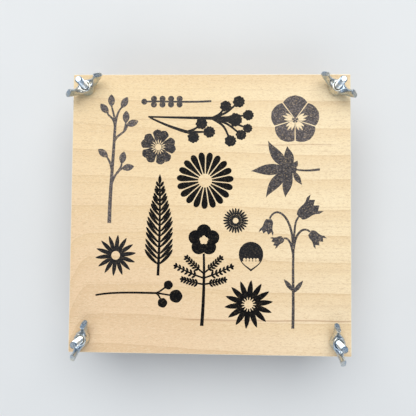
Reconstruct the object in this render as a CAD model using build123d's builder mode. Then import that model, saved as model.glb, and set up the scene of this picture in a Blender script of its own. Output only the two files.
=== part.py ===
from build123d import *
import os
from math import cos, radians, sin, sqrt, tan

# Square flower press, lying flat with its printed face up. Sizes are in millimetres.
# Origin: centre of the bottom board's underside. +Z up along the bolts, +Y to the back, +X right.

# Boards
BOARD_SIDE = 200.0
BOARD_T = 12.0
BOARD_CORNER_R = 0.8
BOARD_ARRIS = 0.6
BOLT_INSET = 10.5                     # bolt axis to each board edge
BOLT_SPACING = BOARD_SIDE - 2 * BOLT_INSET
TOP_HOLE_R = 2.75                     # clearance hole of an M5 bolt
BOTTOM_HOLE_R = 2.5                   # push fit, so that the bolts stay put when the press is open

# Pile between the boards: a card, two blotters, a card, and so on, ending with a card
CARD_COUNT = 6
BLOTTERS_PER_GAP = 2
CARD_SIDE = 190.0
CARD_T = 3.6
BLOTTER_SIDE = 188.0
BLOTTER_T = 0.6
CORNER_CUT = 20.0                     # leg of the cut that clears the bolt

# M5 x 70 hexagon-head bolt, fully threaded
BOLT_R = 2.45
BOLT_LENGTH = 70.0
BOLT_TIP_CHAMFER = 0.6
HEAD_FLATS = 8.0
HEAD_H = 3.5
HEAD_CHAMFER_ANGLE = 30.0
POCKET_FLATS = 8.3                    # hexagonal pocket, which keeps the head from turning
POCKET_DEPTH = 4.0

# M5 flat washer
WASHER_R = 5.0
WASHER_HOLE_R = 2.65
WASHER_T = 1.0
WASHER_ARRIS = 0.15

# M5 wing nut, wide rounded wings
HUB_BASE_R = 5.5
HUB_TOP_R = 4.3
HUB_H = 6.5
NUT_BORE_R = 2.5
BORE_CHAMFER = 0.4
WING_REACH = 15.2                     # bolt axis to the wing's outermost point
WING_TOP = 13.4                       # seat to the wing's highest point
WING_TIP_R = 3.3
WING_SLOPE = 62.0                     # how steeply both edges of the wing run into its round tip
WING_T = 3.6
WING_FILLET = 1.5
WING_ROOT_R = 3.2                     # where the wing starts, inside the hub
WING_LIFT = 1.0                       # height of the wing's lower edge above the seat

# Corner: side of the board in X, side in Y, and the direction in degrees that its wings are left at
CORNERS = {
    "front_left": (-1, -1, 71.0),
    "front_right": (1, -1, -82.0),
    "back_left": (-1, 1, 31.0),
    "back_right": (1, 1, -36.0),
}

PILE_T = CARD_COUNT * CARD_T + (CARD_COUNT - 1) * BLOTTERS_PER_GAP * BLOTTER_T
TOP_BOARD_Z = BOARD_T + PILE_T
WASHER_Z = TOP_BOARD_Z + BOARD_T
NUT_Z = WASHER_Z + WASHER_T


def write(piece, name):
    """Label a finished piece and write it as its own STEP file."""
    piece.part.label = name
    export_step(piece.part, f"parts/{name}.step")


def sheet(side, thickness, height):
    """Square sheet of the pile, its corners cut off to clear the bolts."""
    with BuildPart() as blank:
        with BuildSketch(Plane.XY.offset(height)) as outline:
            Rectangle(side, side)
            chamfer(outline.vertices(), CORNER_CUT)
        extrude(amount=thickness)
    return blank


def board(height):
    """Square board with eased edges and no holes yet."""
    with BuildPart() as blank:
        with BuildSketch(Plane.XY.offset(height)):
            RectangleRounded(BOARD_SIDE, BOARD_SIDE, BOARD_CORNER_R)
        extrude(amount=BOARD_T)
        fillet(blank.faces().filter_by(Axis.Z).edges(), BOARD_ARRIS)
    return blank


def on_wing_tip(angle):
    """Point of the wing tip's rounding, at an angle in degrees above the outward direction."""
    x = WING_REACH - WING_TIP_R + WING_TIP_R * cos(radians(angle))
    z = WING_TOP - WING_TIP_R + WING_TIP_R * sin(radians(angle))
    return (x, z)


os.makedirs("parts", exist_ok=True)

# Bottom board: the bolts stand in it, their heads sunk in hexagonal pockets
bottom_blank = board(0)
with BuildPart() as bottom_board:
    add(bottom_blank.part)
    with BuildSketch(Plane.XY):
        with GridLocations(BOLT_SPACING, BOLT_SPACING, 2, 2):
            RegularPolygon(POCKET_FLATS / 2, 6, major_radius=False)
    extrude(amount=POCKET_DEPTH, mode=Mode.SUBTRACT)
    with Locations(Plane.XY.offset(BOARD_T)):
        with GridLocations(BOLT_SPACING, BOLT_SPACING, 2, 2):
            Hole(BOTTOM_HOLE_R)
write(bottom_board, "bottom_board")

# Top board: slides on the bolts
top_blank = board(TOP_BOARD_Z)
with BuildPart() as top_board:
    add(top_blank.part)
    with Locations(Plane.XY.offset(WASHER_Z)):
        with GridLocations(BOLT_SPACING, BOLT_SPACING, 2, 2):
            Hole(TOP_HOLE_R)
write(top_board, "top_board")

# Pile of corrugated cards and blotting paper
pile_z = BOARD_T
blotter_number = 1
for card_number in range(1, CARD_COUNT + 1):
    write(sheet(CARD_SIDE, CARD_T, pile_z), f"card_{card_number}")
    pile_z += CARD_T
    if card_number < CARD_COUNT:
        for _ in range(BLOTTERS_PER_GAP):
            write(sheet(BLOTTER_SIDE, BLOTTER_T, pile_z), f"blotter_{blotter_number:02d}")
            pile_z += BLOTTER_T
            blotter_number += 1

# Bolt, its head's bearing face at Z = 0: hexagonal head below, shank above
head_corner_r = HEAD_FLATS / sqrt(3)
head_flat_r = HEAD_FLATS / 2
chamfer_h = (head_corner_r - head_flat_r) * tan(radians(HEAD_CHAMFER_ANGLE))
with BuildPart() as bolt_blank:
    with BuildSketch(Plane.XY.offset(-HEAD_H)):
        RegularPolygon(head_flat_r, 6, major_radius=False)
    extrude(amount=HEAD_H)
    with BuildSketch(Plane.XZ):
        Polygon(
            (0, -HEAD_H),
            (head_flat_r, -HEAD_H),
            (head_corner_r, chamfer_h - HEAD_H),
            (head_corner_r, 0),
            (0, 0),
            align=None,
        )
    revolve(axis=Axis.Z, mode=Mode.INTERSECT)
    with BuildSketch(Plane.XY):
        Circle(BOLT_R)
    extrude(amount=BOLT_LENGTH)
    chamfer(bolt_blank.faces().sort_by(Axis.Z)[-1].edges(), BOLT_TIP_CHAMFER)

# Washer, standing on Z = 0
with BuildPart() as washer_blank:
    with BuildSketch():
        Circle(WASHER_R)
        Circle(WASHER_HOLE_R, mode=Mode.SUBTRACT)
    extrude(amount=WASHER_T)
    chamfer(washer_blank.edges().filter_by(GeomType.CIRCLE), WASHER_ARRIS)

# Wing nut, its seat at Z = 0 and its wings along X
tip_turn = 90 - WING_SLOPE
into_hub = (-cos(radians(WING_SLOPE)), -sin(radians(WING_SLOPE)))
wing_root_top = HUB_H - BORE_CHAMFER
with BuildPart() as nut_blank:
    with BuildSketch(Plane.XZ):
        with BuildLine():
            Line((WING_ROOT_R, wing_root_top), (WING_ROOT_R, WING_LIFT))
            Line((WING_ROOT_R, WING_LIFT), (HUB_TOP_R, WING_LIFT))
            TangentArc(on_wing_tip(-tip_turn), (HUB_TOP_R, WING_LIFT), tangent=into_hub)
            ThreePointArc(on_wing_tip(-tip_turn), on_wing_tip(45), on_wing_tip(180 - tip_turn))
            TangentArc(on_wing_tip(180 - tip_turn), (WING_ROOT_R, wing_root_top), tangent=into_hub)
        make_face()
    extrude(amount=WING_T / 2, both=True)
    wing_sides = nut_blank.faces().filter_by(Axis.Y)
    fillet(wing_sides.edges().filter_by(GeomType.CIRCLE), WING_FILLET)
    mirror(about=Plane.YZ)
    with BuildSketch(Plane.XZ):
        Polygon((0, 0), (HUB_BASE_R, 0), (HUB_TOP_R, HUB_H), (0, HUB_H), align=None)
    revolve(axis=Axis.Z)
    with Locations((0, 0, HUB_H)):
        CounterSinkHole(NUT_BORE_R, NUT_BORE_R + BORE_CHAMFER, counter_sink_angle=90)

# One bolt, washer and wing nut at each corner
for corner, (side_x, side_y, wing_angle) in CORNERS.items():
    x = side_x * BOLT_SPACING / 2
    y = side_y * BOLT_SPACING / 2
    with BuildPart() as bolt:
        with Locations((x, y, POCKET_DEPTH)):
            add(bolt_blank.part)
    write(bolt, f"bolt_{corner}")
    with BuildPart() as washer:
        with Locations((x, y, WASHER_Z)):
            add(washer_blank.part)
    write(washer, f"washer_{corner}")
    with BuildPart() as wing_nut:
        with Locations(Location((x, y, NUT_Z), (0, 0, wing_angle))):
            add(nut_blank.part)
    write(wing_nut, f"wing_nut_{corner}")
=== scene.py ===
import math
import random
from cmath import rect

import bmesh
import bpy
from mathutils import Euler, Matrix, Vector
from mathutils.geometry import delaunay_2d_cdt


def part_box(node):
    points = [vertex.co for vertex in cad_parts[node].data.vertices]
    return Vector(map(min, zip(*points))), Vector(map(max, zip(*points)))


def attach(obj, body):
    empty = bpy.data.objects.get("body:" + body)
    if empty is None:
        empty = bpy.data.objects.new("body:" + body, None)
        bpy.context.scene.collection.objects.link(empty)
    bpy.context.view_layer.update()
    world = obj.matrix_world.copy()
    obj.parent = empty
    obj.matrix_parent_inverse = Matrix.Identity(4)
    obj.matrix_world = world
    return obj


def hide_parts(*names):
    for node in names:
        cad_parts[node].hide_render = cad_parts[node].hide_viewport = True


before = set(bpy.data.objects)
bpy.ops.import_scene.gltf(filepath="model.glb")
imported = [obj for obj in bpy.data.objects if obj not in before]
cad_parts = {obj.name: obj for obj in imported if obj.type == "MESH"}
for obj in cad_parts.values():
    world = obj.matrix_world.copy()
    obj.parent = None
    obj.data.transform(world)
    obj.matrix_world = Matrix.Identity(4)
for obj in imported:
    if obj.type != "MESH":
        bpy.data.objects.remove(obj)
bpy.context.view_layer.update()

MM = 0.001
CORNERS = ("front_left", "front_right", "back_left", "back_right")
FACE_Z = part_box("top_board")[1].z


# ---------------------------------------------------------------- shader building

class Shader:
    """A node material, built by short calls that return sockets."""

    def __init__(self, name):
        self.material = bpy.data.materials.new(name)
        self.material.use_nodes = True
        self.tree = self.material.node_tree
        self.bsdf = self.tree.nodes["Principled BSDF"]

    def plug(self, socket, value):
        if isinstance(value, bpy.types.NodeSocket):
            self.tree.links.new(value, socket)
        else:
            socket.default_value = value

    def node(self, kind, settings=None, **inputs):
        made = self.tree.nodes.new(kind)
        for key, value in (settings or {}).items():
            setattr(made, key, value)
        for key, value in inputs.items():
            self.plug(made.inputs[key.replace("_", " ")], value)
        return made

    def math(self, operation, *values, clamp=False):
        made = self.node("ShaderNodeMath", {"operation": operation, "use_clamp": clamp})
        for socket, value in zip(made.inputs, values):
            self.plug(socket, value)
        return made.outputs[0]

    def place(self, scale=(1, 1, 1), shift=(0, 0, 0), turn=(0, 0, 0)):
        """The piece's own coordinates in millimetres, stretched, moved or turned."""
        coords = self.node("ShaderNodeTexCoord").outputs["Object"]
        made = self.node("ShaderNodeMapping", Vector=coords)
        made.inputs["Scale"].default_value = [s / MM for s in scale]
        made.inputs["Location"].default_value = shift
        made.inputs["Rotation"].default_value = turn
        return made.outputs[0]

    def noise(self, vector, scale=1.0, detail=2.0, roughness=0.5, distortion=0.0):
        made = self.node("ShaderNodeTexNoise", Vector=vector, Scale=scale, Detail=detail)
        made.inputs["Roughness"].default_value = roughness
        made.inputs["Distortion"].default_value = distortion
        return made.outputs["Fac"]

    def steps(self, value, low, high, to_low=0.0, to_high=1.0):
        """The value's part between low and high, spread from to_low to to_high."""
        made = self.node("ShaderNodeMapRange", {"interpolation_type": "SMOOTHSTEP"}, Value=value)
        made.inputs["From Min"].default_value = low
        made.inputs["From Max"].default_value = high
        made.inputs["To Min"].default_value = to_low
        made.inputs["To Max"].default_value = to_high
        return made.outputs[0]

    def mix(self, share, first, second, blend="MIX"):
        made = self.node("ShaderNodeMix", {"data_type": "RGBA", "blend_type": blend})
        self.plug(made.inputs["Factor"], share)
        self.plug(made.inputs[6], first)
        self.plug(made.inputs[7], second)
        return made.outputs[2]

    def split(self, vector):
        return self.node("ShaderNodeSeparateXYZ", Vector=vector).outputs

    def bump(self, height, strength, distance):
        made = self.node("ShaderNodeBump", Height=height, Strength=strength, Distance=distance)
        self.plug(self.bsdf.inputs["Normal"], made.outputs[0])

    def surface(self, **values):
        for key, value in values.items():
            self.plug(self.bsdf.inputs[key.replace("_", " ")], value)
        return self.material


def rgb(red, green, blue):
    return (red, green, blue, 1.0)


VENEER_PALE = rgb(0.88, 0.68, 0.385)
VENEER_TAN = rgb(0.77, 0.55, 0.295)
VENEER_PINK = rgb(0.78, 0.54, 0.335)
VENEER_FLAME = rgb(0.66, 0.43, 0.26)
VENEER_FLECK = rgb(0.60, 0.40, 0.21)
VENEER_STREAK = rgb(0.45, 0.25, 0.13)
VENEER_LIGHT = rgb(0.93, 0.79, 0.55)
VENEER_EDGE_HIGHLIGHT = rgb(0.98, 0.9, 0.72)    # painted highlight along the boards' eased edges
PLY_LONG = rgb(0.76, 0.57, 0.35)
PLY_END = rgb(0.50, 0.33, 0.18)
GLUE_LINE = rgb(0.22, 0.13, 0.07)
PLY_COUNT = 9
RING_SPACING = 20.0
RING_WANDER = 30.0
FLAME_X = -84.0                       # left of this, the growth rings bend down round a flame
# Dark streaks along X: their Y, left end, right end, strength
STREAKS = ((49.0, 26.0, 94.0, 0.45), (-75.5, -24.0, 110.0, 0.6), (67.0, -62.0, -8.0, 0.25))


def growth_rings(shader, x, y, shift):
    """How far the veneer is through each growth ring, from 0 just past a line to 1 at the next."""
    left = shader.math("MAXIMUM", shader.math("SUBTRACT", FLAME_X, x), 0.0)
    square = shader.math("MULTIPLY", left, left)
    bend = shader.math("MULTIPLY", square, shader.steps(y, -45, 0, 0.08, 0.0))
    wander = shader.noise(shader.place((0.004, 0.012, 0.012), shift), detail=2.0, roughness=0.4)
    wander = shader.math("MULTIPLY", wander, RING_WANDER)
    height = shader.math("ADD", shader.math("ADD", y, bend), wander)
    return shader.math("FRACT", shader.math("DIVIDE", height, RING_SPACING))


def dark_streak(shader, x, y, wobble, across, start, end, strength):
    """A thin dark line along the grain."""
    off = shader.math("ABSOLUTE", shader.math("SUBTRACT", y, shader.math("ADD", wobble, across)))
    begun = shader.steps(x, start, start + 12)
    ended = shader.steps(x, end - 16, end, 1.0, 0.0)
    core = shader.steps(off, 0.25, 0.75, strength, 0.0)
    return shader.math("MULTIPLY", core, shader.math("MULTIPLY", begun, ended))


def veneer_colour(shader, shift):
    """Birch veneer with its grain along X: growth rings, mineral streaks and short flecks."""
    x, y, _ = shader.split(shader.place())
    broad = shader.noise(shader.place((0.006, 0.03, 0.03), shift), detail=3.0, distortion=0.6)
    colour = shader.mix(shader.steps(broad, 0.35, 0.75, 0.0, 0.5), VENEER_PALE, VENEER_TAN)
    corner = shader.math("ADD", shader.math("MULTIPLY", x, 0.5), y)
    # Darker and pinker towards the bottom-left corner: partly the veneer's own tone, partly painted
    # shade for the light falling off towards that corner
    colour = shader.mix(shader.steps(corner, -120, 70, 0.8, 0.0), colour, VENEER_PINK)
    colour = shader.mix(shader.steps(x, -40, 90, 0.0, 0.4), colour, VENEER_LIGHT)
    ring = growth_rings(shader, x, y, shift)
    colour = shader.mix(shader.steps(ring, 0.3, 1.0, 0.0, 0.6), colour, VENEER_TAN)
    colour = shader.mix(shader.steps(ring, 0.91, 0.99, 0.0, 0.25), colour, VENEER_FLECK)
    near_corner = shader.steps(corner, -110, -50, 0.4, 0.0)
    flame = shader.math("MULTIPLY", near_corner, shader.steps(ring, 0.2, 1.0))
    colour = shader.mix(flame, colour, VENEER_FLAME)
    bands = shader.noise(shader.place((0.008, 0.5, 0.5), shift), detail=2.0, roughness=0.5)
    colour = shader.mix(shader.steps(bands, 0.5, 0.72, 0.0, 0.2), colour, VENEER_FLECK)
    wisps = shader.noise(shader.place((0.24, 1.3, 1.3), shift), detail=2.0, roughness=0.7)
    colour = shader.mix(shader.steps(wisps, 0.52, 0.72, 0.0, 0.48), colour, VENEER_FLECK)
    glints = shader.noise(shader.place((0.5, 1.5, 1.5), (9.0, 5.0, 0.0)), detail=2.0, roughness=0.7)
    colour = shader.mix(shader.steps(glints, 0.5, 0.75, 0.0, 0.4), colour, VENEER_LIGHT)
    flecks = shader.noise(shader.place((0.75, 2.2, 2.2), shift), detail=3.0, roughness=0.75)
    colour = shader.mix(shader.steps(flecks, 0.5, 0.7, 0.0, 0.7), colour, VENEER_FLECK)
    wobble = shader.steps(shader.noise(shader.place((0.012, 0.0, 0.0), shift)), 0.2, 0.8, -1.2, 1.2)
    for across, start, end, strength in STREAKS:
        streak = dark_streak(shader, x, y, wobble, across, start, end, strength)
        colour = shader.mix(streak, colour, VENEER_STREAK)
    return colour, flecks


def plywood(name, low, high, shift):
    """Birch plywood: veneered faces, and edges that show long grain and end grain ply by ply."""
    shader = Shader(name)
    face, flecks = veneer_colour(shader, shift)
    geometry = shader.node("ShaderNodeNewGeometry")
    normal = shader.split(geometry.outputs["Normal"])
    across, along, up = (shader.math("ABSOLUTE", axis) for axis in normal)
    height = shader.split(shader.place((1, 1, 1), (0, 0, -low.z / MM)))[2]
    wander = shader.noise(shader.place((0.03, 0.03, 0.2)), detail=2.0)
    thickness = (high.z - low.z) / MM / PLY_COUNT
    height = shader.math("ADD", height, shader.steps(wander, 0, 1, -0.15, 0.15))
    ply = shader.math("DIVIDE", height, thickness)
    turned = shader.math("GREATER_THAN", across, along)
    parity = shader.math("MODULO", shader.math("ADD", shader.math("FLOOR", ply), turned), 2.0)
    fibres = shader.noise(shader.place((0.5, 0.5, 5.0)), detail=3.0)
    pores = shader.noise(shader.place((4.0, 4.0, 4.0)), detail=2.0)
    long_grain = shader.mix(shader.steps(fibres, 0.4, 0.7, 0.0, 0.5), PLY_LONG, VENEER_FLECK)
    end_grain = shader.mix(shader.steps(pores, 0.45, 0.65, 0.0, 0.6), PLY_END, VENEER_FLECK)
    edge = shader.mix(parity, long_grain, end_grain)
    joint = shader.math("ABSOLUTE", shader.math("SUBTRACT", shader.math("FRACT", ply), 0.5))
    edge = shader.mix(shader.steps(joint, 0.44, 0.49, 0.0, 0.7), edge, GLUE_LINE)
    on_face = shader.steps(up, 0.2, 0.5)
    colour = shader.mix(on_face, edge, face)
    # Painted highlight: the face's eased edges are made paler, as if they caught the light
    eased_edge_highlight = shader.math("MULTIPLY", on_face, shader.steps(up, 0.93, 0.995, 0.8, 0.0))
    colour = shader.mix(eased_edge_highlight, colour, VENEER_EDGE_HIGHLIGHT)
    shader.bump(flecks, 0.15, 0.00008)
    return shader.surface(
        Base_Color=colour,
        Roughness=shader.steps(flecks, 0.3, 0.8, 0.45, 0.62),
    )


# Printing inks: colour where dense, colour where thin, bareness of the pinholes, shine
INKS = {
    "black": (rgb(0.002, 0.002, 0.0025), rgb(0.012, 0.011, 0.01), 0.08, 0.06),
    "dense": (rgb(0.004, 0.004, 0.005), rgb(0.022, 0.02, 0.019), 0.12, 0.18),
    "middling": (rgb(0.018, 0.016, 0.017), rgb(0.085, 0.073, 0.07), 0.3, 0.18),
    "thin": (rgb(0.035, 0.031, 0.033), rgb(0.13, 0.112, 0.106), 0.42, 0.18),
    "faint": (rgb(0.062, 0.052, 0.053), rgb(0.19, 0.16, 0.152), 0.5, 0.18),
}


def print_ink(name, dense, thin, bare, shine):
    """Black printing ink that is mottled by the veneer's pores and has pinholes."""
    shader = Shader(name)
    mottle = shader.noise(shader.place((0.75, 0.95, 1.0)), detail=3.0, roughness=0.75)
    colour = shader.mix(shader.steps(mottle, 0.42, 0.68), dense, thin)
    holes_at = shader.place((1.0, 1.3, 1.0), (3.0, 8.0, 0.0))
    pinholes = shader.noise(holes_at, detail=2.0, roughness=0.6)
    colour = shader.mix(shader.steps(pinholes, 0.56, 0.72, 0.0, bare), colour, VENEER_TAN)
    return shader.surface(
        Base_Color=colour,
        Roughness=shader.steps(mottle, 0.3, 0.7, 0.42, 0.6),
        Specular_IOR_Level=shine,
    )


ZINC_BLUE = rgb(0.46, 0.56, 0.66)
ZINC_STRAW = rgb(0.80, 0.77, 0.68)
ZINC_DULL = rgb(0.26, 0.31, 0.34)
KRAFT = rgb(0.50, 0.34, 0.19)
KRAFT_PALE = rgb(0.64, 0.47, 0.29)
KRAFT_DARK = rgb(0.42, 0.28, 0.16)
FELT = rgb(0.74, 0.71, 0.64)
FELT_PALE = rgb(0.86, 0.84, 0.78)


def zinc(name, roughness, grain, strength):
    """Bright zinc plating, tinted blue and straw, with dull freckles and a grain of bumps."""
    shader = Shader(name)
    tint = shader.noise(shader.place((0.12, 0.12, 0.12)), detail=2.0)
    colour = shader.mix(shader.steps(tint, 0.35, 0.65), ZINC_BLUE, ZINC_STRAW)
    freckles = shader.noise(shader.place((1.1, 1.1, 1.1)), detail=3.0, roughness=0.6)
    colour = shader.mix(shader.steps(freckles, 0.52, 0.66, 0.0, 0.55), colour, ZINC_DULL)
    cast = shader.noise(shader.place((grain, grain, grain)), detail=3.0, roughness=0.6)
    shader.bump(cast, strength, 0.0001)
    return shader.surface(
        Base_Color=colour,
        Metallic=1.0,
        Roughness=shader.steps(cast, 0.3, 0.7, roughness - 0.06, roughness + 0.1),
    )


def kraft_card(name):
    """Brown kraft paper with darker and paler fibres."""
    shader = Shader(name)
    fibres = shader.noise(shader.place((1.2, 0.4, 1.2)), detail=4.0, roughness=0.7)
    cloud = shader.noise(shader.place((0.05, 0.05, 0.05)), detail=2.0)
    colour = shader.mix(shader.steps(fibres, 0.3, 0.7), KRAFT, KRAFT_PALE)
    colour = shader.mix(shader.steps(cloud, 0.35, 0.65, 0.0, 0.3), colour, KRAFT_DARK)
    shader.bump(fibres, 0.3, 0.0001)
    return shader.surface(Base_Color=colour, Roughness=0.85)


def blotting_paper(name):
    """Soft off-white blotting paper with a felted surface."""
    shader = Shader(name)
    felt = shader.noise(shader.place((1.6, 1.6, 1.6)), detail=4.0, roughness=0.7)
    colour = shader.mix(shader.steps(felt, 0.3, 0.7), FELT, FELT_PALE)
    shader.bump(felt, 0.4, 0.0001)
    return shader.surface(Base_Color=colour, Roughness=0.95)


# ---------------------------------------------------------------- mesh helpers

def piece(name, mesh, body, material, replaced=()):
    """A finished piece of the object, from a mesh or bmesh in the row frame."""
    if isinstance(mesh, bmesh.types.BMesh):
        bmesh.ops.recalc_face_normals(mesh, faces=mesh.faces)
        data = bpy.data.meshes.new(name)
        mesh.to_mesh(data)
        mesh.free()
        mesh = data
    obj = bpy.data.objects.new(name, mesh)
    bpy.context.scene.collection.objects.link(obj)
    mesh.materials.clear()
    mesh.materials.append(material)
    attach(obj, body)
    if replaced:
        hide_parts(*replaced)
    return obj


def smooth(mesh, crease_angle):
    """Smooth shading, kept sharp at edges steeper than the angle in degrees."""
    mesh.polygons.foreach_set("use_smooth", [True] * len(mesh.polygons))
    mesh.set_sharp_from_angle(angle=math.radians(crease_angle))


def lathe(profile, steps):
    """A closed solid turned about Z, from (radius, z) points that start and end on the axis."""
    made = bmesh.new()
    rings = []
    for radius, z in profile:
        if radius < 1e-9:
            rings.append([made.verts.new((0, 0, z))] * steps)
            continue
        angles = [2 * math.pi * i / steps for i in range(steps)]
        points = [(radius * math.cos(a), radius * math.sin(a), z) for a in angles]
        rings.append([made.verts.new(p) for p in points])
    for low, high in zip(rings, rings[1:]):
        for i in range(steps):
            j = (i + 1) % steps
            corners = dict.fromkeys((low[i], low[j], high[j], high[i]))
            made.faces.new(list(corners))
    bmesh.ops.recalc_face_normals(made, faces=made.faces)
    return made


def to_object(made, name):
    """A loose helper object from a bmesh, for a modifier to use."""
    data = bpy.data.meshes.new(name)
    made.to_mesh(data)
    made.free()
    obj = bpy.data.objects.new(name, data)
    bpy.context.scene.collection.objects.link(obj)
    return obj


def boolean(obj, other, operation):
    cut = obj.modifiers.new(operation, "BOOLEAN")
    cut.object = other
    cut.operation = operation
    cut.solver = "EXACT"


def baked(obj, *helpers):
    """The object's mesh with its modifiers applied; the object and its helpers are removed."""
    bpy.context.view_layer.update()
    graph = bpy.context.evaluated_depsgraph_get()
    mesh = bpy.data.meshes.new_from_object(obj.evaluated_get(graph))
    for old in (obj, *helpers):
        bpy.data.objects.remove(old)
    return mesh


# ---------------------------------------------------------------- hardware

PITCH = 0.8
THREAD_R = 2.45
THREAD_ROOT_R = 1.97
# One turn of the thread: rise along the bolt, radius
THREAD_SHAPE = ((0.0, THREAD_R), (0.1, THREAD_R), (0.35, THREAD_ROOT_R), (0.6, THREAD_ROOT_R))
HEAD_H = 3.5
HEAD_FLATS = 8.0
HEAD_FACE_R = 3.8                     # flat middle of the head's outer face
TIP_CHAMFER = 0.7
SHANK_SINK = 0.3                      # how far the shank's mesh runs into the head


def threaded_shank(length, steps=36):
    """M5 thread as one helical strip, flat at both ends, chamfered at the tip. In millimetres."""
    made = bmesh.new()
    columns = []
    turns = int(length / PITCH) + 3
    for i in range(steps):
        angle = 2 * math.pi * i / steps
        column = []
        for turn in range(-1, turns):
            for rise, radius in THREAD_SHAPE:
                z = turn * PITCH + rise + PITCH * i / steps
                r = max(min(radius, THREAD_R - TIP_CHAMFER + length - z), 1.0)
                column.append(made.verts.new((r * math.cos(angle), r * math.sin(angle), z)))
        columns.append(column)
    rows = len(THREAD_SHAPE)
    for i in range(steps):
        last = i == steps - 1
        here, there = columns[i], columns[0] if last else columns[i + 1]
        shift = rows if last else 0
        for k in range(len(here) - 1 - shift):
            made.faces.new((here[k], there[k + shift], there[k + 1 + shift], here[k + 1]))
    for z, normal in ((0.0, (0, 0, -1)), (length, (0, 0, 1))):
        geometry = made.verts[:] + made.edges[:] + made.faces[:]
        bmesh.ops.bisect_plane(
            made, geom=geometry, plane_co=(0, 0, z), plane_no=normal, clear_outer=True
        )
    bmesh.ops.holes_fill(made, edges=[e for e in made.edges if e.is_boundary])
    bmesh.ops.recalc_face_normals(made, faces=made.faces)
    return made


def hex_head():
    """Hexagon head below Z = 0, without its chamfer. In millimetres."""
    made = bmesh.new()
    bmesh.ops.create_circle(made, cap_ends=True, segments=6, radius=HEAD_FLATS / math.sqrt(3))
    lower = bmesh.ops.extrude_face_region(made, geom=made.faces[:])
    moved = [v for v in lower["geom"] if isinstance(v, bmesh.types.BMVert)]
    bmesh.ops.translate(made, verts=moved, vec=(0, 0, -HEAD_H))
    bmesh.ops.recalc_face_normals(made, faces=made.faces)
    return made


def bolt_mesh(length):
    """Hexagon bolt, its head's bearing face at Z = 0, in metres."""
    shank = to_object(threaded_shank(length + SHANK_SINK), "shank")
    shank.data.transform(Matrix.Translation((0, 0, -SHANK_SINK)))
    head = to_object(hex_head(), "head")
    wide = HEAD_FLATS / math.sqrt(3) + 1
    rise = (wide - HEAD_FACE_R) * math.tan(math.radians(30))
    cone = [(0, -HEAD_H), (HEAD_FACE_R, -HEAD_H), (wide, rise - HEAD_H), (wide, 1), (0, 1)]
    bevel = to_object(lathe(cone, 72), "bevel")
    boolean(head, bevel, "INTERSECT")
    boolean(head, shank, "UNION")
    mesh = baked(head, shank, bevel)
    mesh.transform(Matrix.Scale(MM, 4))
    smooth(mesh, 28)
    return mesh


HUB_BASE_R = 5.5
HUB_TOP_R = 4.3
HUB_H = 6.5
HUB_EASE = 0.35
BORE_R = 2.5
BORE_CHAMFER = 0.8
# Middle line of a wing, as a cubic curve: distance from the bolt axis, height
WING_PATH = ((2.6, 3.4), (6.4, 3.4), (9.9, 5.6), (12.2, 10.5))
WING_END_SLANT = 0.35                 # how far the end face turns outwards from square
WING_SECTIONS = 18
WING_AROUND = 32


def on_cubic(points, t):
    a, b, c, d = (Vector(p) for p in points)
    u = 1 - t
    return u * u * u * a + 3 * u * u * t * b + 3 * u * t * t * c + t * t * t * d


def wing_section(t):
    """Half-width, half-thickness and roundness of a wing, from its root at 0 to its end at 1."""
    return 3.0 + 0.55 * t, 1.6 + 3.1 * (1 - t) ** 2.8 + 0.2 * t * t, 1.0 - 0.3 * t


def wing_mesh(side):
    """One wing as a swept rounded bar, from inside the hub up to its flat end. In millimetres."""
    made = bmesh.new()
    rings = []
    for i in range(WING_SECTIONS):
        t = i / (WING_SECTIONS - 1)
        centre = on_cubic(WING_PATH, t)
        ahead = on_cubic(WING_PATH, min(t + 0.01, 1.0)) - on_cubic(WING_PATH, max(t - 0.01, 0.0))
        ahead.normalize()
        across = Vector((ahead.y, -ahead.x)) - ahead * WING_END_SLANT * t ** 3
        half_w, half_t, roundness = wing_section(t)
        ring = []
        for k in range(WING_AROUND):
            a = 2 * math.pi * k / WING_AROUND
            c, s = math.cos(a), math.sin(a)
            p = centre + across * half_w * math.copysign(abs(c) ** roundness, c)
            y = half_t * math.copysign(abs(s) ** roundness, s)
            ring.append(made.verts.new((side * p.x, y, p.y)))
        rings.append(ring)
    for low, high in zip(rings, rings[1:]):
        for k in range(WING_AROUND):
            j = (k + 1) % WING_AROUND
            made.faces.new((low[k], low[j], high[j], high[k]))
    made.faces.new(rings[0])
    made.faces.new(rings[-1])
    bmesh.ops.recalc_face_normals(made, faces=made.faces)
    return made


def wing_nut_mesh():
    """Cast wing nut, its seat at Z = 0 and its wings along X, in metres."""
    hub = [
        (0, 0), (HUB_BASE_R - HUB_EASE, 0), (HUB_BASE_R, HUB_EASE),
        (HUB_TOP_R + 0.05, HUB_H - HUB_EASE), (HUB_TOP_R - HUB_EASE, HUB_H), (0, HUB_H),
    ]
    body = to_object(lathe(hub, 64), "nut")
    wings = [to_object(wing_mesh(side), "wing") for side in (-1, 1)]
    for wing in wings:
        boolean(body, wing, "UNION")
    remesh = body.modifiers.new("remesh", "REMESH")
    remesh.mode = "VOXEL"
    remesh.voxel_size = 0.2
    soften = body.modifiers.new("soften", "SMOOTH")
    soften.factor = 0.5
    soften.iterations = 6
    mouth = BORE_R + BORE_CHAMFER
    bore = [
        (0, -1), (mouth + 1, -1), (BORE_R, BORE_CHAMFER),
        (BORE_R, HUB_H - BORE_CHAMFER), (mouth + 1, HUB_H + 1), (0, HUB_H + 1),
    ]
    drill = to_object(lathe(bore, 64), "drill")
    boolean(body, drill, "DIFFERENCE")
    mesh = baked(body, *wings, drill)
    mesh.transform(Matrix.Scale(MM, 4))
    smooth(mesh, 40)
    return mesh


def bolt_axis(node):
    """The middle of the bolt that goes with a bolt or wing nut node."""
    low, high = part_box(node.replace("wing_nut", "bolt"))
    return (low + high) / 2


def at_corner(node, mesh, turn=0.0):
    """A copy of the mesh at the node's corner, turned about Z."""
    axis = bolt_axis(node)
    copy = mesh.copy()
    copy.transform(Matrix.Rotation(turn, 4, "Z"))
    copy.transform(Matrix.Translation((axis.x, axis.y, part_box(node)[0].z)))
    return copy


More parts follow.
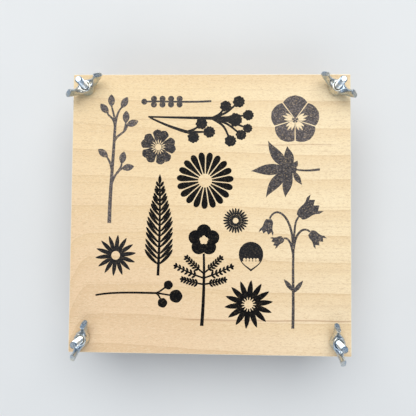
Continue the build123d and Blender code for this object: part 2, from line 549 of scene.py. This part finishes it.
def wing_turn(node):
    """The direction of a wing nut's wings, from the farthest point of its CAD mesh."""
    axis = bolt_axis(node)
    points = (v.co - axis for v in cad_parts[node].data.vertices)
    far = max(points, key=lambda p: p.x * p.x + p.y * p.y)
    return math.atan2(far.y, far.x)


# ---------------------------------------------------------------- pile of sheets

FLUTE_COUNT = 26
FLUTE_STEPS = 12
LINER_T = 0.4
MEDIUM_T = 0.3
MEDIUM_INSET = 0.3                    # how far the fluted sheet's edges lie inside the liners'
CARD_GAP = 0.02                       # between a card and its neighbours
BLOTTER_GAP = 0.06
CORNER_CUT = 20.0                     # leg of the cut that clears the bolt


def reach(u, side):
    """Half-length of a corner-cut square sheet along v, at a distance u from its middle."""
    return min(side / 2, side - CORNER_CUT - abs(u))


def strip_solid(made, stations, low_z, high_z, side):
    """A closed corner-cut sheet whose faces follow low_z and high_z along u."""
    rows = []
    for u in stations:
        v = reach(u, side)
        low, high = low_z(u), high_z(u)
        corners = ((u, -v, low), (u, v, low), (u, v, high), (u, -v, high))
        rows.append([made.verts.new(p) for p in corners])
    for a, b in zip(rows, rows[1:]):
        for k in range(4):
            j = (k + 1) % 4
            made.faces.new((a[k], a[j], b[j], b[k]))
    made.faces.new(rows[0])
    made.faces.new(rows[-1])


def stations_across(side, count):
    """Even stations across a sheet, with the ones where its corners are cut."""
    points = {round(side * (i / count - 0.5), 6) for i in range(count + 1)}
    points |= {side / 2 - CORNER_CUT, CORNER_CUT - side / 2}
    return sorted(points)


def corrugated_card(side, thickness):
    """Two flat liners with a fluted sheet between them. In millimetres, its underside at Z = 0."""
    made = bmesh.new()
    flat = stations_across(side, 4)
    waved = stations_across(side, FLUTE_COUNT * FLUTE_STEPS)
    swing = (thickness - 2 * LINER_T - MEDIUM_T) / 2 + CARD_GAP
    top = thickness - CARD_GAP

    def middle(u):
        return thickness / 2 + swing * math.sin(2 * math.pi * FLUTE_COUNT * u / side)

    def middle_low(u):
        return middle(u) - MEDIUM_T / 2

    def middle_high(u):
        return middle(u) + MEDIUM_T / 2

    strip_solid(made, flat, lambda u: CARD_GAP, lambda u: LINER_T, side)
    strip_solid(made, flat, lambda u: thickness - LINER_T, lambda u: top, side)
    strip_solid(made, waved, middle_low, middle_high, side - 2 * MEDIUM_INSET)
    return made


def blotter_sheet(side, thickness):
    """A sheet of blotting paper. In millimetres, its underside at Z = 0."""
    made = bmesh.new()
    flat = stations_across(side, 8)
    top = thickness - BLOTTER_GAP
    strip_solid(made, flat, lambda u: BLOTTER_GAP, lambda u: top, side)
    return made


def lay(made, node, turn, shift):
    """Puts a sheet on its place in the pile, a little askew."""
    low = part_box(node)[0]
    made.transform(Matrix.Scale(MM, 4))
    made.transform(Matrix.Rotation(math.radians(turn), 4, "Z"))
    made.transform(Matrix.Translation((shift[0] * MM, shift[1] * MM, low.z)))
    return made


# ---------------------------------------------------------------- printed plants
# Outlines are lists of complex numbers, x + yj, in millimetres on the board's face.

def polar(length, degrees):
    return rect(length, math.radians(degrees))


def put(outline, at, turn=0.0):
    """The outline turned by an angle in degrees, then moved."""
    return [at + polar(1, turn) * p for p in outline]


def anticlockwise(outline):
    area = sum((a.conjugate() * b).imag for a, b in zip(outline, outline[1:] + outline[:1]))
    return outline if area > 0 else outline[::-1]


def disc(radius, steps=36, lobes=0, depth=0.0):
    """A disc, or a scalloped one with lobes."""
    angles = (2 * math.pi * i / steps for i in range(steps))
    return [rect(radius * (1 + depth * math.cos(lobes * a)), a) for a in angles]


def leaf(length, width, bias=1.0, point=1.0, steps=14):
    """A leaf or petal from the origin along X.

    A bias above 1 moves its widest place outwards, and a higher point sharpens its ends.
    """
    edge = []
    for i in range(steps + 1):
        t = i / steps
        edge.append(complex(length * t, width / 2 * math.sin(math.pi * t ** bias) ** point))
    return edge + [p.conjugate() for p in edge[-2:0:-1]]


def curve(start, start_pull, end_pull, end, steps=18):
    """Points along a cubic curve."""
    path = []
    for i in range(steps + 1):
        t = i / steps
        u = 1 - t
        ends = u ** 3 * start + t ** 3 * end
        path.append(ends + 3 * u * u * t * start_pull + 3 * u * t * t * end_pull)
    return path


def stroke(path, start_width, end_width):
    """A stem along a path, its width changing from end to end."""
    left, right = [], []
    for i, p in enumerate(path):
        ahead = path[min(i + 1, len(path) - 1)] - path[max(i - 1, 0)]
        side = ahead / abs(ahead) * 1j
        half = (start_width + (end_width - start_width) * i / (len(path) - 1)) / 2
        left.append(p + side * half)
        right.append(p - side * half)
    return left + right[::-1]


def round_of(outline, count, radius=0.0, start=0.0):
    """Copies of an outline all round, each pushed out by a radius."""
    turns = [start + 360 * i / count for i in range(count)]
    return [put(outline, polar(radius, turn), turn) for turn in turns]


def curl(outline, degrees, length):
    """The outline bent sideways, by an angle that grows to its full size at the given length."""
    return [p * rect(1, math.radians(degrees) * (abs(p) / length) ** 1.5) for p in outline]


def ray(inner, outer, count, gap, tip, sharpness, steps=14):
    """One of count wedge petals round a flower, with a gap to the next and a rounded tip."""
    upper = []
    for i in range(steps + 1):
        r = inner + (outer - inner) * math.sin(math.pi / 2 * i / steps)
        past = max(0.0, (r - (outer - tip)) / tip)
        half = math.pi * r / count - gap / 2
        upper.append(complex(r, half * max(0.0, 1 - past * past) ** sharpness))
    return upper + [p.conjugate() for p in upper[-2::-1]]


def tall_sprig():
    fork = 4 + 23j
    fills = [stroke(curve(1 - 47j, 1 - 25j, 3 - 4j, fork), 2.8, 2.0)]
    twigs = (
        (fork, 3 + 31j, -2 + 30j, -1.5 + 33j, 130),
        (fork, 4 + 30j, 2 + 34j, 1.2 + 38j, 92),
        (fork, 5 + 31j, 6 + 34j, 8.8 + 37j, 62),
        (3.3 + 11j, 5 + 18j, 12 + 17j, 13 + 24j, 20),
        (10.8 + 19.4j, 11 + 21j, 11.6 + 23j, 11.8 + 26j, 88),
        (2 - 8j, 1 - 2j, -1 - 1j, -1.5 + 1j, 140),
        (1.5 - 21j, 4 - 12j, 6 - 10j, 10 - 7.5j, 10),
        (6 - 11j, 8 - 8j, 9 - 7j, 9.3 - 3.5j, 80),
    )
    for root, up, over, end, turn in twigs:
        fills.append(stroke(curve(root, up, over, end, 10), 1.9, 1.2))
        fills.append(put(leaf(9.2, 5.0, 1.0, 0.75), end - polar(0.8, turn), turn))
    return fills, []


def bead_sprig():
    bead = disc(2.2, 20)
    stem = curve(-21 + 0j, -8 + 0.6j, 8 - 0.8j, 27 + 0.4j)
    fills = [stroke(stem, 1.3, 1.5), put(bead, -21.5 + 0j)]
    for i in range(4):
        for side in (1, -1):
            fills.append(put(bead, complex(-14.5 + 6.2 * i, 2.1 * side)))
    return fills, []


def umbel(stem, rays):
    """A stem that ends in rays, each with a ragged floret: (turn, length, floret radius) a ray."""
    hub = stem[-1]
    fills = [stroke(stem, 1.2, 2.4)]
    for turn, length, size in rays:
        end = hub + polar(length, turn)
        pull = hub + polar(length * 0.5, turn * 0.6)
        fills.append(stroke(curve(hub, pull, pull, end, 8), 2.0, 1.3))
        fills.append(put(disc(size, 60, 7, 0.09), end, turn))
        fills.append(put(disc(size, 60, 11, 0.08), end + 0.4, turn + 15))
    return fills


def umbel_branch():
    main = curve(-41 + 7j, -22 + 6.4j, -6 + 6.2j, 5 + 6j)
    low = curve(-40 + 6.6j, -31 + 2j, -23 - 1j, -13 - 4j)
    main_rays = (
        (42, 13, 3.8), (32, 22.5, 4.0), (-4, 16.5, 4.7), (5, 26, 3.6),
        (-16, 26.5, 3.1), (-30, 24, 3.5), (-51, 21, 3.9),
    )
    low_rays = ((30, 12, 3.9), (0, 16, 3.9), (-40, 6, 3.9))
    return umbel(main, main_rays) + umbel(low, low_rays), []


def violet():
    fills = round_of(leaf(17.5, 18, 1.25, 0.55, 20), 5, 0.2, 90)
    cuts = [stroke([polar(1.2, turn), polar(19, turn)], 0.5, 0.9) for turn in range(126, 486, 72)]
    for petal in range(162, 450, 72):
        for lean, length in ((0, 7.5), (17, 6), (-17, 6)):
            turn = petal + lean
            cuts.append(put(leaf(length, 1.7, 0.9, 0.7), polar(2.0, turn), turn))
    return fills, cuts


def notched_blossom():
    half = leaf(12.9, 7.6, 1.8, 0.6, 18)
    fills = round_of(half, 5, 0.0, 79 - 14) + round_of(half, 5, 0.0, 79 + 14)
    cuts = [disc(2.3)] + round_of(leaf(3.6, 0.7), 16, 2.0)
    cuts += round_of(leaf(9, 1.2, 1.6, 0.7), 5, 5.4, 115)
    return fills, cuts


def open_daisy():
    return round_of(ray(4.9, 20.4, 19, 0.75, 5.0, 0.5), 19, 0.0, 4), []


def maple_leaf():
    fills = [stroke(curve(0j, 6 - 1j, 12 - 1.4j, 19 + 0.0j), 1.1, 1.7), disc(2.8)]
    lobes = (
        (180, 30, 8.0, 3), (147, 27, 7.8, -16), (211, 28, 7.8, 16), (112, 17, 6.8, -8),
        (245, 21, 6.8, 10), (62, 7, 3.6, 0), (292, 13, 4.2, 8),
    )
    for turn, length, width, bend in lobes:
        fills.append(put(curl(leaf(length, width, 1.05, 1.2, 22), bend, length), 0j, turn))
    return fills, []


def fern_frond():
    stem = curve(0 - 36j, 1 - 10j, 1 + 10j, 0.5 + 29j, 60)
    fills = [stroke(stem, 2.0, 1.3), put(leaf(8.0, 2.4), stem[-1] - 0.5j, 90)]
    pairs = 16
    for i in range(pairs):
        share = i / (pairs - 1)
        root = stem[int((0.1 + 0.87 * share) * (len(stem) - 1))]
        length = 15.1 - 10.2 * max(0.0, share - 0.35) / 0.65
        for side in (1, -1):
            blade = curl(leaf(length, 2.5 - 0.5 * share, 1.15, 0.5, 10), side * 8, length)
            fills.append(put(blade, root, 90 - side * (50 - 10 * share)))
    return fills, []


def small_aster():
    return round_of(leaf(6.0, 1.5, 1.1, 0.5, 8), 24, 3.2) + [disc(4.0)], [disc(2.0)]


def bell(length, width):
    """A bellflower's bell from the origin along X, swelling and then flaring to pointed teeth."""
    upper = []
    for i in range(13):
        t = i / 12
        shoulder = min(1.0, 0.1 + 2.0 * t)
        swell = 0.38 * math.sqrt(shoulder * (2 - shoulder))
        upper.append(complex(length * 0.8 * t, width * (swell + 0.2 * t ** 5)))
    teeth = []
    for k in range(7):
        tooth = 0.84 if k % 2 else 1.04
        teeth.append(complex(length * tooth, width * 0.6 * (1 - k / 3)))
    return upper + teeth + [p.conjugate() for p in upper[:0:-1]]


def bellflower():
    stem = curve(0 - 46j, 1 - 20j, -1 + 2j, 1.5 + 26j, 30)
    neck = curve(1.4 + 25j, 1.8 + 29j, 2.6 + 31j, 5 + 33.5j, 8)
    fills = [stroke(stem, 2.1, 1.5), put(bell(16, 12.5), 4 + 32.5j, 38), stroke(neck, 1.5, 1.3)]
    arms = (
        (0.0 + 12j, 0 + 33j, -12 + 42j, -16.4 + 31j, 256, 10.8, 8.6),
        (0.5 + 10j, 2 + 24j, 9 + 25.5j, 12.0 + 22j, 314, 11.0, 9.2),
        (0.2 + 6j, -1 + 14j, -3 + 18j, -6.5 + 17.3j, 205, 8.5, 7),
    )
    for root, up, over, end, turn, length, width in arms:
        fills.append(stroke(curve(root, up, over, end), 1.8, 1.3))
        fills.append(put(bell(length, width), end, turn))
    for root, turn in ((0.4 - 21j, 52), (0.4 - 20j, 128)):
        fills.append(put(leaf(11, 3.2, 0.9, 0.9), root, turn))
    return fills, []


def star_daisy(count, length, width, hub, ring, teeth=0):
    """A daisy with pointed petals on a ring round an open hub, whose edge may have fine teeth."""
    fills = round_of(leaf(length - hub * 0.6, width, 0.95, 0.75), count, hub * 0.6, 7)
    fills.append(disc(ring))
    cuts = [disc(hub)]
    if teeth:
        cuts += round_of(leaf(hub * 0.9, 0.75, 1.0, 0.6, 6), teeth, hub - 0.6)
    return fills, cuts


def cosmos():
    blossom = 25.5j
    lobes = range(90, 450, 72)
    fills = [put(disc(5.2), blossom + polar(6.1, turn)) for turn in lobes]
    fills.append(put(disc(4.6), blossom))
    cuts = [put(disc(1.4, 16), blossom + polar(1.8, turn)) for turn in lobes]
    cuts.append(put(disc(1.6, 20), blossom))
    fills.append(stroke(curve(-1 - 35j, 0.5 - 15j, 0.5 + 5j, 0 + 16j), 2.5, 1.5))
    for root, turn, length in ((2.0j, 37, 15.5), (-1.4j, 18, 20.5), (-5.8j, 8, 14.5)):
        fills += feathered_twig(root, turn, length, 1)
        fills += feathered_twig(root, 180 - turn, length, -1)
    return fills, cuts


def feathered_twig(root, heading, length, side):
    """A twig that curls to its side, with pairs of leaflets and one at its end."""
    twig = [root + polar(length * t / 7, heading + side * 0.7 * t) for t in range(8)]
    end = twig[-1] - polar(1, heading)
    fills = [stroke(twig, 1.3, 1.0), put(leaf(4.0, 2.0, 1.0, 0.6, 8), end, heading)]
    for k in range(2, 8):
        for lean in (50, -50):
            fills.append(put(leaf(4.1 - 0.17 * k, 1.6, 1.0, 0.6, 8), twig[k], heading + lean))
    return fills


def hazelnut():
    side = curve(-8.6 + 2j, -8.8 - 5j, -2.6 - 7.6j, -10.4j)
    white = curve(-6.4 - 3.2j, -4.8 - 6.2j, -2.0 - 7.0j, -8.8j)
    dome = [8.6 * polar(1, 7.5 * i) + 2j for i in range(1, 24)]
    body = side + [-p.conjugate() for p in side[-2::-1]] + dome
    cuts = [white + [-p.conjugate() for p in white[-2::-1]]]
    for k in range(5):
        cuts.append(put(leaf(2.8, 2.1, 1.0, 0.8, 8), complex(-4.6 + 2.3 * k, -3.6), 90))
    return [body], cuts


def berry_sprig():
    stem = curve(-31 - 1j, -20 + 1.4j, -4 + 1.2j, 10 + 1j)
    fills = [stroke(stem, 1.3, 1.5)]
    for end, radius in ((21 + 6.8j, 3.2), (26.5 - 1.0j, 4.6), (17 - 5.8j, 3.4)):
        pull = stem[-1] + 3.5
        fills.append(stroke(curve(stem[-1], pull, pull, end, 10), 1.4, 1.2))
        fills.append(put(disc(radius, 28, 5, 0.03), end))
    return fills, []


# Prints: (fills, cuts), place on the face, ink
PRINTS = {
    "tall_sprig": (tall_sprig(), -73 + 39j, "faint"),
    "bead_sprig": (bead_sprig(), -26.5 + 80j, "thin"),
    "umbel_branch": (umbel_branch(), -4 + 62j, "dense"),
    "violet": (violet(), 60.5 + 67j, "faint"),
    "notched_blossom": (notched_blossom(), -37.5 + 47j, "middling"),
    "open_daisy": (open_daisy(), -3.5 + 23j, "black"),
    "maple_leaf": (maple_leaf(), 59 + 31.5j, "thin"),
    "fern_frond": (fern_frond(), -36.5 - 9j, "black"),
    "small_aster": (small_aster(), 18.5 - 5.5j, "dense"),
    "bellflower": (bellflower(), 59 - 35j, "thin"),
    "left_daisy": (star_daisy(14, 14.8, 3.0, 3.1, 4.5), -67 - 31j, "dense"),
    "cosmos": (cosmos(), -4 - 45j, "black"),
    "hazelnut": (hazelnut(), 29.5 - 31j, "dense"),
    "right_daisy": (star_daisy(14, 17.2, 3.9, 3.1, 6.3, 14), 28 - 64.5j, "black"),
    "berry_sprig": (berry_sprig(), -50 - 58.4j, "black"),
}
INK_T = 0.03
INK_SUNK = 0.01                       # how far the layer's underside lies below the face


def print_mesh(fills, cuts, at):
    """The area that the fills cover and the cuts leave, as a thin layer on the board's face."""
    points, loops = [], []
    for outline in (anticlockwise(o) for o in fills + cuts):
        loops.append(list(range(len(points), len(points) + len(outline))))
        points += [Vector(((p + at).real, (p + at).imag)) for p in outline]
    verts, _, faces, _, _, sources = delaunay_2d_cdt(points, [], loops, 1, 1e-4)
    inked = [f for f, of in zip(faces, sources) if of and max(of) < len(fills)]
    made = bmesh.new()
    low_z = FACE_Z - INK_SUNK * MM
    used = sorted({i for f in inked for i in f})
    corners = {i: made.verts.new((verts[i].x * MM, verts[i].y * MM, low_z)) for i in used}
    for f in inked:
        made.faces.new([corners[i] for i in f])
    bmesh.ops.recalc_face_normals(made, faces=made.faces)
    raised = bmesh.ops.extrude_face_region(made, geom=made.faces[:])
    tops = [v for v in raised["geom"] if isinstance(v, bmesh.types.BMVert)]
    bmesh.ops.translate(made, verts=tops, vec=(0, 0, (INK_T + INK_SUNK) * MM))
    return made


# ---------------------------------------------------------------- the object

def dress_boards():
    for node in ("top_board", "bottom_board"):
        low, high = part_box(node)
        ply = plywood(f"{node}_plywood", low, high, (0.0, 0.0, low.z))
        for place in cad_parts[node].material_slots:
            place.material = ply


def make_prints():
    inks = {name: print_ink(f"{name}_ink", *values) for name, values in INKS.items()}
    for name, ((fills, cuts), at, ink) in PRINTS.items():
        layer = print_mesh(fills, cuts, at)
        piece(f"print_{name}", layer, "top_board", inks[ink])


def make_hardware():
    bright = zinc("zinc_bolt", 0.22, 2.0, 0.15)
    cast = zinc("zinc_casting", 0.29, 0.9, 0.35)
    head_low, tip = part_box("bolt_front_left")
    bolt = bolt_mesh((tip.z - head_low.z) / MM - HEAD_H)
    bolt.transform(Matrix.Translation((0, 0, HEAD_H * MM)))
    nut = wing_nut_mesh()
    for corner in CORNERS:
        bolt_name, nut_name = f"bolt_{corner}", f"wing_nut_{corner}"
        placed = at_corner(bolt_name, bolt)
        piece(f"threaded_{bolt_name}", placed, "base", bright, [bolt_name])
        placed = at_corner(nut_name, nut, wing_turn(nut_name))
        piece(f"cast_{nut_name}", placed, nut_name, cast, [nut_name])
        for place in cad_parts[f"washer_{corner}"].material_slots:
            place.material = bright


def make_pile():
    kraft = kraft_card("kraft_card")
    felt = blotting_paper("blotting_paper")
    chance = random.Random(5)
    for node in sorted(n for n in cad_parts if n.startswith(("card_", "blotter_"))):
        low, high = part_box(node)
        side, thickness = (high.x - low.x) / MM, (high.z - low.z) / MM
        slack = 0.5 if node.startswith("card_") else 0.9
        shift = (chance.uniform(-slack, slack), chance.uniform(-slack, slack))
        turn = chance.uniform(-0.25, 0.25)
        if node.startswith("card_"):
            turn += 90 * chance.choice((0, 1))
            made = lay(corrugated_card(side, thickness), node, turn, shift)
            piece(f"fluted_{node}", made, "base", kraft, [node])
        else:
            made = lay(blotter_sheet(side, thickness), node, turn, shift)
            piece(f"sheet_{node}", made, "base", felt, [node])


# ---------------------------------------------------------------- studio

def make_floor():
    """A pale floor that gets paler away from the press: painted light that makes up for the light
    falling off with distance.
    """
    shader = Shader("floor")
    tone = shader.noise(shader.place((0.01, 0.01, 0.01)), detail=2.0)
    colour = shader.mix(tone, rgb(0.70, 0.70, 0.69), rgb(0.74, 0.74, 0.73))
    away = shader.node("ShaderNodeVectorMath", {"operation": "LENGTH"}, Vector=shader.place())
    # Painted light: paler away from the press, standing in for light the lamps don't give the far
    # floor
    far = shader.steps(away.outputs["Value"], 400, 1500)
    colour = shader.mix(far, colour, rgb(0.97, 0.97, 0.96))
    material = shader.surface(Base_Color=colour, Roughness=0.8)
    made = bmesh.new()
    bmesh.ops.create_grid(made, x_segments=2, y_segments=2, size=40.0)
    floor = to_object(made, "floor")
    floor.data.materials.append(material)


def make_light(name, place, aim, size, watts, colour):
    lamp = bpy.data.lights.new(name, "AREA")
    lamp.shape = "RECTANGLE"
    lamp.size, lamp.size_y = size
    lamp.energy = watts
    lamp.color = colour
    obj = bpy.data.objects.new(name, lamp)
    bpy.context.scene.collection.objects.link(obj)
    obj.location = place
    obj.rotation_euler = (Vector(aim) - Vector(place)).to_track_quat("-Z", "Y").to_euler()


def make_sky():
    """A pale backdrop, and a darker sky for light and reflections, so that zinc keeps contrast."""
    world = bpy.data.worlds.new("studio")
    bpy.context.scene.world = world
    world.use_nodes = True
    tree = world.node_tree
    coords = tree.nodes.new("ShaderNodeTexCoord")
    split = tree.nodes.new("ShaderNodeSeparateXYZ")
    tree.links.new(coords.outputs["Generated"], split.inputs[0])

    def rising(*ends):
        """A colour that changes with height above the horizon, between (height, colour) ends."""
        ramp = tree.nodes.new("ShaderNodeValToRGB")
        tree.links.new(split.outputs["Z"], ramp.inputs["Fac"])
        for element, (height, colour) in zip(ramp.color_ramp.elements, ends):
            element.position = height
            element.color = colour
        return ramp.outputs["Color"]

    backdrop = tree.nodes.new("ShaderNodeBackground")
    rays = tree.nodes.new("ShaderNodeLightPath")
    choice = tree.nodes.new("ShaderNodeMixShader")
    sky = tree.nodes["Background"]
    seen = rising((0.0, rgb(0.36, 0.39, 0.43)), (0.3, rgb(0.64, 0.66, 0.68)))
    lighting = rising((0.15, rgb(0.055, 0.085, 0.13)), (0.95, rgb(0.46, 0.52, 0.60)))
    tree.links.new(seen, backdrop.inputs["Color"])
    tree.links.new(lighting, sky.inputs["Color"])
    tree.links.new(rays.outputs["Is Camera Ray"], choice.inputs[0])
    tree.links.new(sky.outputs[0], choice.inputs[1])
    tree.links.new(backdrop.outputs[0], choice.inputs[2])
    tree.links.new(choice.outputs[0], tree.nodes["World Output"].inputs["Surface"])


def make_studio():
    make_sky()
    centre = (0, 0, 0.04)
    make_light("key", (0.0, 0.85, 1.3), centre, (2.2, 1.3), 25.0, (1.0, 0.985, 0.95))
    make_light("fill", (0.0, -0.95, 1.0), centre, (1.4, 0.7), 5.0, (0.96, 0.98, 1.0))
    bpy.context.scene.view_settings.view_transform = "Standard"


def make_camera():
    """Nearly square on to the printed face, close enough for the nuts to lean outwards."""
    data = bpy.data.cameras.new("camera")
    data.sensor_width = 36.0
    data.lens = 40.6
    data.clip_start = 0.01
    camera = bpy.data.objects.new("camera", data)
    bpy.context.scene.collection.objects.link(camera)
    camera.location = (9.6 * MM, -10.5 * MM, 385.8 * MM)
    camera.rotation_euler = Euler([math.radians(a) for a in (2.39, 1.84, 0.5)])
    bpy.context.scene.camera = camera


make_camera()
make_studio()
make_floor()
dress_boards()
make_prints()
make_hardware()
make_pile()
